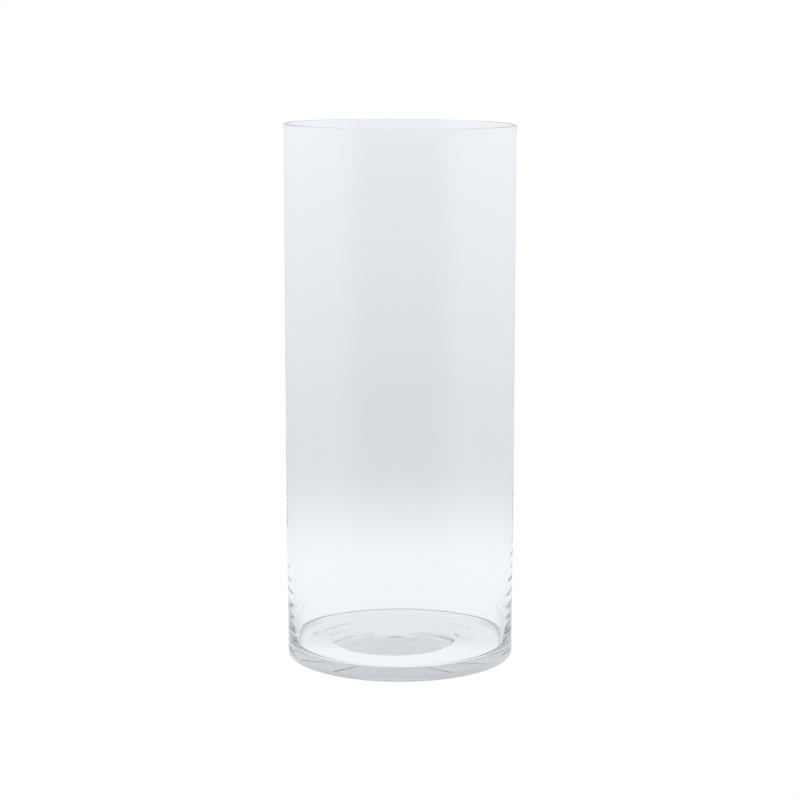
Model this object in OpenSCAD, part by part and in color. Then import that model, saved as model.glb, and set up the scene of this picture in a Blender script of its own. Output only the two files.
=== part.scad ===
// Glass cylinder vase, mould-blown in one piece of clear soda-lime glass.
// The one piece of glass is divided at level planes into its four natural zones:
// the thick base, the heel ring above it, the even side wall and the cut and polished rim.
// Origin: centre of the foot, on the surface the vase stands on. +Z runs up to the mouth.

/* [Overall size] */
// Outside diameter of the cylinder
outer_d = 150; // [135:1:200]
// Height from the foot to the top of the rim
height = 350; // [200:5:500]

/* [Side wall] */
// Thickness of the even part of the wall
wall_t = 2.6; // [2:0.1:4]
// Thickness of the wall where it meets the rounded inside corner
heel_wall_t = 4.6; // [4.2:0.1:6]
// Height at which the wall has thinned to its even thickness
heel_top_z = 60; // [40:1:120]

/* [Base] */
// Thickness of the glass floor
floor_t = 8.5; // [7:0.5:16]
// Radius of the rounded outside edge of the foot
foot_edge_r = 2; // [0.5:0.5:5]
// Radius of the rounded inside corner between floor and wall
corner_r = 4; // [3:0.5:10]

/* [Hollow under the base] */
// Radius of the crest, the highest line of the hollow
crest_r = 42; // [35:0.5:44]
// Height of the crest at the back, where the hollow is shallowest
crest_low = 0.3; // [0.2:0.1:1]
// Height of the crest at the front, where the hollow is deepest
crest_high = 2.8; // [1.5:0.1:4]
// How far in front of the crest the hollow runs out into the flat foot
run_out = 16; // [12:0.5:18]

/* [Rim] */
// Height of the band at the mouth
rim_h = 4; // [3:0.5:10]
// Radius of the melted edges inside and outside the flat top
lip_edge_r = 0.3; // [0.2:0.1:0.9]

/* [Hidden] */
$fn = 180;
outer_r = outer_d / 2;
bore_r = outer_r - wall_t;
rim_z = height - rim_h;
lip_z = height - lip_edge_r;

// The inside corner is a quarter round from the floor up to corner_z, where the wall is
// heel_wall_t thick. Above it the inside face is a slight cone up to heel_top_z.
corner_z = floor_t + corner_r;
corner_x = outer_r - heel_wall_t - corner_r;

// The hollow is a round shape, a shallow inner cone and a steeper outer one that meet at the
// crest, leaned towards the front. The lean raises the crest in front as much as it lowers
// it at the back.
mean_rise = (crest_high - crest_low) / 2;
lean = atan(mean_rise / crest_r);
outer_slope = (crest_high + (crest_r + run_out) * tan(lean) - mean_rise) / run_out;
below = 5;

// Outline of the base: a thick disc with a rounded outside edge
module base_outline() {
    square([outer_r - foot_edge_r, floor_t]);
    translate([0, foot_edge_r])
        square([outer_r, floor_t - foot_edge_r]);
    translate([outer_r - foot_edge_r, foot_edge_r])
        circle(r = foot_edge_r);
}

// Outline of the rounded inside corner, from the floor up to corner_z
module corner_outline() {
    difference() {
        translate([corner_x, floor_t])
            square([outer_r - corner_x, corner_r]);
        translate([corner_x, corner_z])
            circle(r = corner_r);
    }
}

// Outline of the wall above that corner, thinning upwards to wall_t
module thinning_outline() {
    polygon([
        [outer_r - heel_wall_t, corner_z],
        [outer_r, corner_z],
        [outer_r, heel_top_z],
        [bore_r, heel_top_z]
    ]);
}

// The space of the hollow, with its crest highest in front
module hollow() {
    translate([0, 0, crest_low])
        rotate([-lean, 0, 0])
            rotate_extrude()
                polygon([
                    [0, 0],
                    [crest_r, mean_rise],
                    [crest_r + (mean_rise + below) / outer_slope, -below],
                    [0, -below]
                ]);
}

// Thick floor with the foot it stands on and the shallow hollow in the middle of the foot
module base() {
    color([0.80, 0.86, 0.87, 0.5])
        difference() {
            rotate_extrude()
                base_outline();
            hollow();
        }
}

// Ring of thicker glass where the floor turns up into the wall
module heel() {
    color([0.84, 0.89, 0.90, 0.5]) {
        rotate_extrude()
            corner_outline();
        rotate_extrude()
            thinning_outline();
    }
}

// Even tube between the heel and the rim, with a true bore
module side_wall() {
    color([0.88, 0.92, 0.94, 0.5])
        translate([0, 0, heel_top_z])
            difference() {
                cylinder(r = outer_r, h = rim_z - heel_top_z);
                cylinder(r = bore_r, h = rim_z - heel_top_z);
            }
}

// Cut and polished band at the mouth, flat on top with melted edges
module rim() {
    color([0.92, 0.95, 0.97, 0.5])
        rotate_extrude() {
            translate([bore_r, rim_z])
                square([wall_t, lip_z - rim_z]);
            translate([bore_r + lip_edge_r, rim_z])
                square([wall_t - 2 * lip_edge_r, rim_h]);
            translate([bore_r + lip_edge_r, lip_z])
                circle(r = lip_edge_r);
            translate([outer_r - lip_edge_r, lip_z])
                circle(r = lip_edge_r);
        }
}

base();
heel();
side_wall();
rim();
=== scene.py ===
"""Glass cylinder vase in a pale studio: one mould-blown piece of clear glass."""
import math

import bpy
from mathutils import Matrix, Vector, noise


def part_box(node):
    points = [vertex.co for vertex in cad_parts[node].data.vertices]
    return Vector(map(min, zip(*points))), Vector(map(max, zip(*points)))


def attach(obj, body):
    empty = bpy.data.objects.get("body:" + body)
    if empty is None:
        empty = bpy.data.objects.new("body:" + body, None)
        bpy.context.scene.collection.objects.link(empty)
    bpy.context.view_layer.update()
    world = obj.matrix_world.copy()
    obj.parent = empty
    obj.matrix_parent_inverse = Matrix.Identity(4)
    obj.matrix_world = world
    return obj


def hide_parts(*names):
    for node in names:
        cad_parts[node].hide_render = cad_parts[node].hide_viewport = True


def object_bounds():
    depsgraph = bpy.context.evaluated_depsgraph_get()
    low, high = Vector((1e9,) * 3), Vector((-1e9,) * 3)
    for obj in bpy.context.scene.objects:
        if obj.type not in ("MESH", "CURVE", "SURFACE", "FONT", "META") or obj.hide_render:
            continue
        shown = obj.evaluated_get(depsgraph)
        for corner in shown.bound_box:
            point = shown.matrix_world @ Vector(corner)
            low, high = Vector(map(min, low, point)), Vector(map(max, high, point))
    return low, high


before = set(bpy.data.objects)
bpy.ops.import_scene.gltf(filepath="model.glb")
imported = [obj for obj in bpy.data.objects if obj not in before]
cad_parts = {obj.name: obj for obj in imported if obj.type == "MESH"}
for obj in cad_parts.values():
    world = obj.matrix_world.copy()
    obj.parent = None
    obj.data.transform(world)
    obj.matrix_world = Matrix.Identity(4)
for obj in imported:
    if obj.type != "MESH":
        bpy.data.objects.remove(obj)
cad_low, cad_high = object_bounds()

# ---------------------------------------------------------------- sizes, in metres
OUTER_R = min(-cad_low[0], cad_high[0], -cad_low[1], cad_high[1])
FLOOR_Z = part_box("heel")[0].z
TOP_Z = cad_high[2]
WALL_T = 0.0026

# Inside, the floor turns up into the wall on part of an ellipse. The wall is thicker low
# down: by HEEL_T at the level of the floor, which falls to 1/e with every HEEL_FADE of height.
CORNER_W = 0.0021
CORNER_H = 0.004
HEEL_T = 0.0030
HEEL_FADE = 0.028

# Underneath, the foot is a flat ring. Inside it is the mark of the mould: towards the front
# the glass rises from the mark's low point out to its crest at MARK_R, and falls from there
# to the flat foot at MARK_EDGE_R. Towards the back it stays level. MARK_BLUNT rounds the
# point of that cone, and a larger MARK_SPREAD makes the raised side narrower.
FOOT_EDGE_R = 0.0009
MARK_EDGE_R = 0.058
MARK_R = 0.0418
MARK_RISE = 0.0028
MARK_BLUNT = 0.08
MARK_SPREAD = 1.2
MARK_CENTRE = (-0.0042, -0.0005)
MARK_LOW = (-0.0042, 0.0070)

# The mouth was cut and its edges melted smooth, so it isn't quite level or even: it falls by
# RIM_DROP towards +X and waves by LIP_WAVE, in lumps as wide and high as LIP_LUMP says.
LIP_EDGE_R = 0.0003
RIM_DROP = 0.0011
RIM_DROP_FROM = 0.300
LIP_WAVE = 0.00012
LIP_LUMP = (0.012, 1.0)

# Rings left in the glass as it filled the mould: each is a low step in the inside face, at
# the left and right sides only. They stand further apart upwards. RING_WIDTH is the share of
# its pitch that a step takes up, low down and higher up.
RING_PITCH = 0.006
RING_PITCH_GROWTH = 0.04
RING_WIDTH = (0.35, 0.15)
RING_WIDTH_Z = (0.020, 0.045)
RING_SIDE = (0.88, 0.97)
RING_FADE = (0.016, 0.026)
RING_WOBBLE = 0.30
RING_LUMP = (0.035, 0.012)

# Both faces are slightly uneven, and the outside is drawn in low down.
OUTSIDE_WAVE = 0.00001
OUTSIDE_LUMP = (0.05, 0.006)
OUTSIDE_WAVE_Z = (0.002, 0.006)
TUCK_IN = 0.00045
TUCK_IN_Z = (0.085, 0.030)
WALL_WAVE = 0.00003
WALL_LUMP = (0.03, 0.05)
WALL_WAVE_FULL_Z = 0.04

# How finely the glass is divided: steps round the axis, the spacing of the rings on its two
# faces, and the number of rings on the other parts. Hard by each end of a straight part there
# is one ring more, CLOSE to it.
ROUND_STEPS = 320
INSIDE_RING = 0.0007
OUTSIDE_RING = 0.0025
COARSE_RING = 0.010
FINE_TOP_Z = 0.080
CLOSE = 0.00005
MARK_RINGS = 26
MARK_FALL_RINGS = 12
FOOT_RINGS = 8
FOOT_EDGE_RINGS = 10
LIP_EDGE_RINGS = 6
LIP_TOP_RINGS = 4
CORNER_RINGS = 24
FLOOR_RINGS = 16


def smoothstep(low, high, x):
    """0 at low, 1 at high and smooth between; low may be the larger."""
    t = min(max((x - low) / (high - low), 0.0), 1.0)
    return t * t * (3 - 2 * t)


def material(name):
    """A new node material and its node tree, empty but for the output."""
    made = bpy.data.materials.new(name)
    made.use_nodes = True
    tree = made.node_tree
    tree.nodes.clear()
    tree.nodes.new("ShaderNodeOutputMaterial")
    return made, tree


def mesh_object(name, verts, faces, mat, smooth=True):
    mesh = bpy.data.meshes.new(name)
    mesh.from_pydata(verts, [], faces)
    mesh.materials.append(mat)
    mesh.polygons.foreach_set("use_smooth", [smooth] * len(mesh.polygons))
    mesh.update()
    made = bpy.data.objects.new(name, mesh)
    bpy.context.scene.collection.objects.link(made)
    return made


def arc(centre, radius, start, end, steps, height=None):
    """Points on an arc in the (r, z) plane, with angles in degrees.

    With a height of its own it is part of an ellipse.
    """
    up = radius if height is None else height
    turns = [math.radians(start + (end - start) * i / steps) for i in range(steps + 1)]
    return [(centre[0] + radius * math.cos(t), centre[1] + up * math.sin(t)) for t in turns]


def line(a, b, steps):
    """Points from a to b, without either end.

    One stands hard by each end, so that the smooth shading of a curve stops where it does.
    """
    close = min(CLOSE / math.dist(a, b), 0.5 / steps)
    parts = [close] + [i / steps for i in range(1, steps)] + [1 - close]
    return [(a[0] + (b[0] - a[0]) * t, a[1] + (b[1] - a[1]) * t) for t in parts]


def waves(x, y, z, across, up):
    """Smooth unevenness between about -1 and 1, with lumps of the given width and height."""
    return noise.noise(Vector((x / across, y / across, z / up)))


def heights(low, high, fine):
    """Ring heights from low to high, fine apart up to FINE_TOP_Z and COARSE_RING above it."""
    steps = [low]
    z = low + CLOSE
    while z < high - CLOSE:
        steps.append(z)
        z += fine if z < FINE_TOP_Z else COARSE_RING
    return steps + [high - CLOSE, high]


def heel_radius(z):
    """Radius of the inside face at height z, above the rounded corner."""
    return OUTER_R - WALL_T - HEEL_T * math.exp((FLOOR_Z - z) / HEEL_FADE)


def stepped_height(x, y, z):
    """Height whose heel radius the inside face takes at z.

    This turns the smooth heel into the low steps of the mould rings.
    """
    pitch = RING_PITCH + RING_PITCH_GROWTH * z
    wobble = RING_WOBBLE * waves(x, y, z, *RING_LUMP)
    turns = math.log(pitch) / RING_PITCH_GROWTH + wobble
    whole = math.floor(turns)
    half = (RING_WIDTH[0] + (RING_WIDTH[1] - RING_WIDTH[0]) * smoothstep(*RING_WIDTH_Z, z)) / 2
    turned = whole + smoothstep(0.5 - half, 0.5 + half, turns - whole)
    turned -= wobble
    level = (math.exp(RING_PITCH_GROWTH * turned) - RING_PITCH) / RING_PITCH_GROWTH
    side = smoothstep(*RING_SIDE, abs(x) / OUTER_R)
    return z + (level - z) * side * smoothstep(*RING_FADE, z)


def under_point(r, z, a):
    """A point of the underside.

    Its rings stand round the mark's low point in the middle, round the mark's centre at its
    crest, and round the axis at the edge of the foot.
    """
    near = smoothstep(OUTER_R - FOOT_EDGE_R, MARK_EDGE_R, r)
    t = min(r / MARK_R, 1.0)
    x, y = (low + (mid - low) * t for low, mid in zip(MARK_LOW, MARK_CENTRE))
    side = ((1 - math.sin(a)) / 2) ** MARK_SPREAD
    cone = (math.hypot(t, MARK_BLUNT) - MARK_BLUNT) / (math.hypot(1, MARK_BLUNT) - MARK_BLUNT)
    fall = min(max((MARK_EDGE_R - r) / (MARK_EDGE_R - MARK_R), 0.0), 1.0)
    height = MARK_RISE * side * cone * fall
    return r * math.cos(a) + near * x, r * math.sin(a) + near * y, height


def rim_fall(x, y, z):
    """How far the uneven mouth is below the full height."""
    fall = RIM_DROP * (1 + x / OUTER_R) / 2 + LIP_WAVE * (1 + waves(x, y, z, *LIP_LUMP)) / 2
    return fall * smoothstep(RIM_DROP_FROM, TOP_Z, z)


def outside_point(r, z, a):
    x, y = r * math.cos(a), r * math.sin(a)
    dent = OUTSIDE_WAVE * (1 + waves(x, y, z, *OUTSIDE_LUMP)) * smoothstep(*OUTSIDE_WAVE_Z, z)
    dent += TUCK_IN * smoothstep(*TUCK_IN_Z, z)
    scale = 1 - dent / r
    return x * scale, y * scale, z - rim_fall(x, y, z)


def inside_point(r, z, a):
    x, y = r * math.cos(a), r * math.sin(a)
    stepped = heel_radius(stepped_height(x, y, z))
    above_corner = smoothstep(FLOOR_Z + CORNER_H, WALL_WAVE_FULL_Z, z)
    even = WALL_WAVE * waves(x, y, z, *WALL_LUMP) * above_corner
    scale = (r + stepped - heel_radius(z) + even) / r
    return x * scale, y * scale, z - rim_fall(x, y, z)


def round_point(r, z, a):
    """A point of an exactly round face."""
    return r * math.cos(a), r * math.sin(a), z


def profile():
    """The cut face of the glass, from the middle of the underside to the middle of the floor.

    Each point is (r, z, function that places it).
    """
    bore_r = OUTER_R - WALL_T
    foot_r = OUTER_R - FOOT_EDGE_R
    shoulder_z = TOP_Z - LIP_EDGE_R
    mark = [(0, 0)] + line((0, 0), (MARK_R, 0), MARK_RINGS) + [(MARK_R, 0)]
    fall = line(mark[-1], (MARK_EDGE_R, 0), MARK_FALL_RINGS) + [(MARK_EDGE_R, 0)]
    foot = line(fall[-1], (foot_r, 0), FOOT_RINGS)
    edge = arc((foot_r, FOOT_EDGE_R), FOOT_EDGE_R, -90, 0, FOOT_EDGE_RINGS)
    outside = [(OUTER_R, z) for z in heights(FOOT_EDGE_R, shoulder_z, OUTSIDE_RING)[1:-1]]
    lip = arc((OUTER_R - LIP_EDGE_R, shoulder_z), LIP_EDGE_R, 0, 90, LIP_EDGE_RINGS)
    lip += line(lip[-1], (bore_r + LIP_EDGE_R, TOP_Z), LIP_TOP_RINGS)
    lip += arc((bore_r + LIP_EDGE_R, shoulder_z), LIP_EDGE_R, 90, 180, LIP_EDGE_RINGS)[:-1]
    # The corner's ellipse meets the wall where the two have nearly the same slope.
    centre_z = FLOOR_Z + CORNER_H
    slope = HEEL_T / HEEL_FADE * math.exp((FLOOR_Z - centre_z) / HEEL_FADE)
    lean = math.atan(slope * CORNER_H / CORNER_W)
    corner_z = centre_z - CORNER_H * math.sin(lean)
    centre_r = heel_radius(corner_z) - CORNER_W * math.cos(lean)
    wall_z = heights(corner_z, shoulder_z, INSIDE_RING)
    wall = [(heel_radius(z), z) for z in reversed(wall_z[:-1])]
    turn = -math.degrees(lean)
    corner = arc((centre_r, centre_z), CORNER_W, turn, -90, CORNER_RINGS, CORNER_H)[1:]
    floor = line(corner[-1], (0, FLOOR_Z), FLOOR_RINGS) + [(0, FLOOR_Z)]
    return (
        [(r, z, under_point) for r, z in mark + fall + foot]
        + [(r, z, outside_point) for r, z in edge + outside + lip]
        + [(r, z, inside_point) for r, z in wall]
        + [(r, z, round_point) for r, z in corner + floor]
    )


def revolve(points, steps):
    """Vertices and faces of a profile turned about Z, from points like those of profile().

    The first and last points lie on the axis.
    """
    def place(point, a):
        r, z, where = point
        return where(r, z, a)

    rings = points[1:-1]
    verts = [place(points[0], 0)]
    for point in rings:
        verts += [place(point, 2 * math.pi * k / steps) for k in range(steps)]
    verts.append(place(points[-1], 0))
    last = len(verts) - 1
    top = 1 + (len(rings) - 1) * steps
    faces = []
    for k in range(steps):
        n = (k + 1) % steps
        faces.append((0, 1 + n, 1 + k))
        for j in range(len(rings) - 1):
            a, b = 1 + j * steps, 1 + (j + 1) * steps
            faces.append((a + k, a + n, b + n, b + k))
        faces.append((top + k, top + n, last))
    return verts, faces


# ---------------------------------------------------------------- camera
# It stands in front, on the -Y side, and looks down by CAMERA_DOWN degrees.
CAMERA_PLACE = (0, -1.421, 0.4138)
CAMERA_DOWN = 9.765
CAMERA_LENS_MM = 98.8
CAMERA_SENSOR_MM = 36
CAMERA_CLIP = (0.05, 50)


def make_camera():
    data = bpy.data.cameras.new("camera")
    data.sensor_width = CAMERA_SENSOR_MM
    data.lens = CAMERA_LENS_MM
    data.clip_start, data.clip_end = CAMERA_CLIP
    camera = bpy.data.objects.new("camera", data)
    camera.location = CAMERA_PLACE
    camera.rotation_euler = (math.radians(90 - CAMERA_DOWN), 0, 0)
    bpy.context.scene.collection.objects.link(camera)
    bpy.context.scene.camera = camera


make_camera()


# ---------------------------------------------------------------- glass
GLASS_IOR = 1.5
ABSORB_COLOUR = (0.899, 0.901, 0.904, 1)
ABSORB_DENSITY = 26.0

# The skin: how close its lumps are across and upwards, and how deep.
SKIN_ACROSS = 60.0
SKIN_UP = 110.0
SKIN_DETAIL = 2.0
SKIN_STRENGTH = 1.0
SKIN_DEPTH = 0.00002

# The scuffs on the foot: how high they reach, how close they are, the noise value above which
# the glass is scuffed, and how rough it is where the noise is highest.
SCUFF_TOP_Z = 0.0002
SCUFF_SCALE = 900.0
SCUFF_DETAIL = 3.0
SCUFF_FROM = 0.52
SCUFF_ROUGH = 0.25


def glass_material():
    made, tree = material("clear_glass")
    out = tree.nodes["Material Output"]
    glass = tree.nodes.new("ShaderNodeBsdfPrincipled")
    glass.inputs["Base Color"].default_value = (1, 1, 1, 1)
    glass.inputs["IOR"].default_value = GLASS_IOR
    glass.inputs["Transmission Weight"].default_value = 1.0
    tree.links.new(glass.outputs["BSDF"], out.inputs["Surface"])
    # Shallow unevenness left by the mould, in lumps wider than they are tall.
    place = tree.nodes.new("ShaderNodeTexCoord")
    stretch = tree.nodes.new("ShaderNodeMapping")
    stretch.inputs["Scale"].default_value = (SKIN_ACROSS, SKIN_ACROSS, SKIN_UP)
    lumps = tree.nodes.new("ShaderNodeTexNoise")
    lumps.inputs["Scale"].default_value = 1.0
    lumps.inputs["Detail"].default_value = SKIN_DETAIL
    bump = tree.nodes.new("ShaderNodeBump")
    bump.inputs["Strength"].default_value = SKIN_STRENGTH
    bump.inputs["Distance"].default_value = SKIN_DEPTH
    tree.links.new(place.outputs["Object"], stretch.inputs["Vector"])
    tree.links.new(stretch.outputs["Vector"], lumps.inputs["Vector"])
    tree.links.new(lumps.outputs["Fac"], bump.inputs["Height"])
    tree.links.new(bump.outputs["Normal"], glass.inputs["Normal"])
    # Fine scuffs on the flat of the foot, where the vase has been stood down and slid.
    height = tree.nodes.new("ShaderNodeSeparateXYZ")
    on_foot = tree.nodes.new("ShaderNodeMapRange")
    on_foot.inputs["From Min"].default_value = SCUFF_TOP_Z
    on_foot.inputs["From Max"].default_value = 0.0
    scuffs = tree.nodes.new("ShaderNodeTexNoise")
    scuffs.inputs["Scale"].default_value = SCUFF_SCALE
    scuffs.inputs["Detail"].default_value = SCUFF_DETAIL
    rough = tree.nodes.new("ShaderNodeMapRange")
    rough.inputs["From Min"].default_value = SCUFF_FROM
    rough.inputs["From Max"].default_value = 1.0
    rough.inputs["To Max"].default_value = SCUFF_ROUGH
    worn = tree.nodes.new("ShaderNodeMath")
    worn.operation = "MULTIPLY"
    tree.links.new(place.outputs["Object"], height.inputs["Vector"])
    tree.links.new(height.outputs["Z"], on_foot.inputs["Value"])
    tree.links.new(place.outputs["Object"], scuffs.inputs["Vector"])
    tree.links.new(scuffs.outputs["Fac"], rough.inputs["Value"])
    tree.links.new(rough.outputs["Result"], worn.inputs[0])
    tree.links.new(on_foot.outputs["Result"], worn.inputs[1])
    tree.links.new(worn.outputs["Value"], glass.inputs["Roughness"])
    absorb = tree.nodes.new("ShaderNodeVolumeAbsorption")
    absorb.inputs["Color"].default_value = ABSORB_COLOUR
    absorb.inputs["Density"].default_value = ABSORB_DENSITY
    tree.links.new(absorb.outputs["Volume"], out.inputs["Volume"])
    return made


verts, faces = revolve(profile(), ROUND_STEPS)
vase = mesh_object("vase_glass", verts, faces, glass_material())
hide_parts("base", "heel", "side_wall", "rim")
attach(vase, "root")


# ---------------------------------------------------------------- stage
# A white floor, and round the vase a tent of soft light that the glass sees and the camera
# doesn't: a drum with a table for its floor, a wall and a roof.
STAGE_Z = -0.0004
FLOOR_HALF = 8.0
TENT_R = 0.70
TENT_BEND_R = 0.08
TENT_TOP = 1.3
TENT_STEPS = 180
TABLE_FINE_R = 0.12
TABLE_FINE_RINGS = 80
TABLE_RINGS = 60
BEND_RINGS = 8
WALL_RINGS = 60
ROOF_RINGS = 4

# The table's light near the vase and at the wall, and the radii between which it fades.
TABLE_LIGHT = 0.95
TABLE_EDGE_LIGHT = 0.77
TABLE_FADE = (0.22, 0.60)

# Under the foot, inside UNDER_EDGE, the table's light is scaled by UNDER_FRONT in front and
# by UNDER_BACK behind. It turns from one to the other between the two y of UNDER_TURN.
UNDER_FRONT = 1.02
UNDER_BACK = 0.91
UNDER_EDGE = (0.0745, 0.0725)
UNDER_TURN = (-0.030, -0.005)

# The wall lightens by WALL_RISE per metre between the heights of WALL_RISE_Z.
WALL_RISE = 0.46
WALL_RISE_Z = (0.05, 0.4)

# Away from the middle of the table, from the radii of OFF_TABLE_R on, the light is scaled by
# FRONT_LIGHT on the camera's side and by SIDE_LIGHT to the left and right, where that grows
# up to SIDE_RISE_Z. Azimuths are in degrees from the camera's side.
OFF_TABLE_R = (0.15, 0.55)
FRONT_LIGHT = 0.62
FRONT_AZIMUTH = (70, 28)
SIDE_LIGHT = 1.12
SIDE_AZIMUTH_FRONT = (40, 72)
SIDE_AZIMUTH_BACK = (160, 100)
SIDE_RISE_Z = 0.15

# Tints of the light: red, green and blue, over TABLE_FADE like the table's light.
TABLE_TINT = (0.962, 1.0, 1.016)
WALL_TINT = (0.962, 1.0, 1.045)

# Light runs along inside the wall by many reflections, and would end dark if cut off early.
LIGHT_BOUNCES = 128


def tent_light(x, y, z):
    """Brightness of the tent at a point."""
    r = math.hypot(x, y)
    level = TABLE_LIGHT + (TABLE_EDGE_LIGHT - TABLE_LIGHT) * smoothstep(*TABLE_FADE, r)
    level += WALL_RISE * max(0.0, min(z, WALL_RISE_Z[1]) - WALL_RISE_Z[0])
    under = UNDER_FRONT + (UNDER_BACK - UNDER_FRONT) * smoothstep(*UNDER_TURN, y)
    level *= 1 + (under - 1) * smoothstep(*UNDER_EDGE, r)
    azimuth = abs(math.degrees(math.atan2(x, -y)))
    front = smoothstep(*FRONT_AZIMUTH, azimuth)
    side = smoothstep(*SIDE_AZIMUTH_FRONT, azimuth) * smoothstep(*SIDE_AZIMUTH_BACK, azimuth)
    side *= smoothstep(0.0, SIDE_RISE_Z, z)
    off_table = smoothstep(*OFF_TABLE_R, r)
    factor = 1 + off_table * (front * (FRONT_LIGHT - 1) + side * (SIDE_LIGHT - 1))
    return level * factor


def tent_colour(x, y, z):
    """Colour of the tent's light at a point, scaled by its brightness."""
    level = tent_light(x, y, z)
    far = smoothstep(*TABLE_FADE, math.hypot(x, y, z))
    tint = [table + (wall - table) * far for table, wall in zip(TABLE_TINT, WALL_TINT)]
    return (tint[0] * level, tint[1] * level, tint[2] * level, 1)


def glow_material(name, attribute=None):
    """Plain even light, or light read from a colour attribute of the mesh."""
    made, tree = material(name)
    shade = tree.nodes.new("ShaderNodeEmission")
    tree.links.new(shade.outputs["Emission"], tree.nodes["Material Output"].inputs["Surface"])
    if attribute:
        source = tree.nodes.new("ShaderNodeAttribute")
        source.attribute_name = attribute
        tree.links.new(source.outputs["Color"], shade.inputs["Color"])
    return made


def make_world():
    world = bpy.data.worlds.new("studio")
    bpy.context.scene.world = world
    world.use_nodes = True
    back = world.node_tree.nodes["Background"]
    back.inputs["Color"].default_value = (1, 1, 1, 1)
    back.inputs["Strength"].default_value = 1.0


def make_floor():
    h = FLOOR_HALF
    verts = [(-h, -h, STAGE_Z), (h, -h, STAGE_Z), (h, h, STAGE_Z), (-h, h, STAGE_Z)]
    floor = mesh_object("floor", verts, [(0, 1, 2, 3)], glow_material("floor_white"), smooth=False)
    floor.visible_diffuse = False
    floor.visible_glossy = False
    floor.visible_transmission = False
    floor.visible_shadow = False


def make_tent():
    fine = [(TABLE_FINE_R * i / TABLE_FINE_RINGS, STAGE_Z) for i in range(TABLE_FINE_RINGS + 1)]
    table = line((TABLE_FINE_R, STAGE_Z), (TENT_R - TENT_BEND_R, STAGE_Z), TABLE_RINGS)
    bend_centre = (TENT_R - TENT_BEND_R, STAGE_Z + TENT_BEND_R)
    bend = arc(bend_centre, TENT_BEND_R, -90, 0, BEND_RINGS)
    wall = line(bend[-1], (TENT_R, TENT_TOP), WALL_RINGS) + [(TENT_R, TENT_TOP)]
    roof = line(wall[-1], (0, TENT_TOP), ROOF_RINGS) + [(0, TENT_TOP)]
    points = [(r, z, round_point) for r, z in fine + table + bend + wall + roof]
    verts, faces = revolve(points, TENT_STEPS)
    tent = mesh_object("light_tent", verts, faces, glow_material("light_tent", attribute="light"))
    light = tent.data.color_attributes.new(name="light", type="FLOAT_COLOR", domain="POINT")
    for i, v in enumerate(verts):
        light.data[i].color = tent_colour(*v)
    tent.visible_camera = False
    tent.visible_shadow = False


make_world()
make_floor()
make_tent()
scene = bpy.context.scene
scene.view_settings.view_transform = "Standard"
scene.cycles.max_bounces = LIGHT_BOUNCES
scene.cycles.transmission_bounces = LIGHT_BOUNCES
scene.cycles.glossy_bounces = LIGHT_BOUNCES
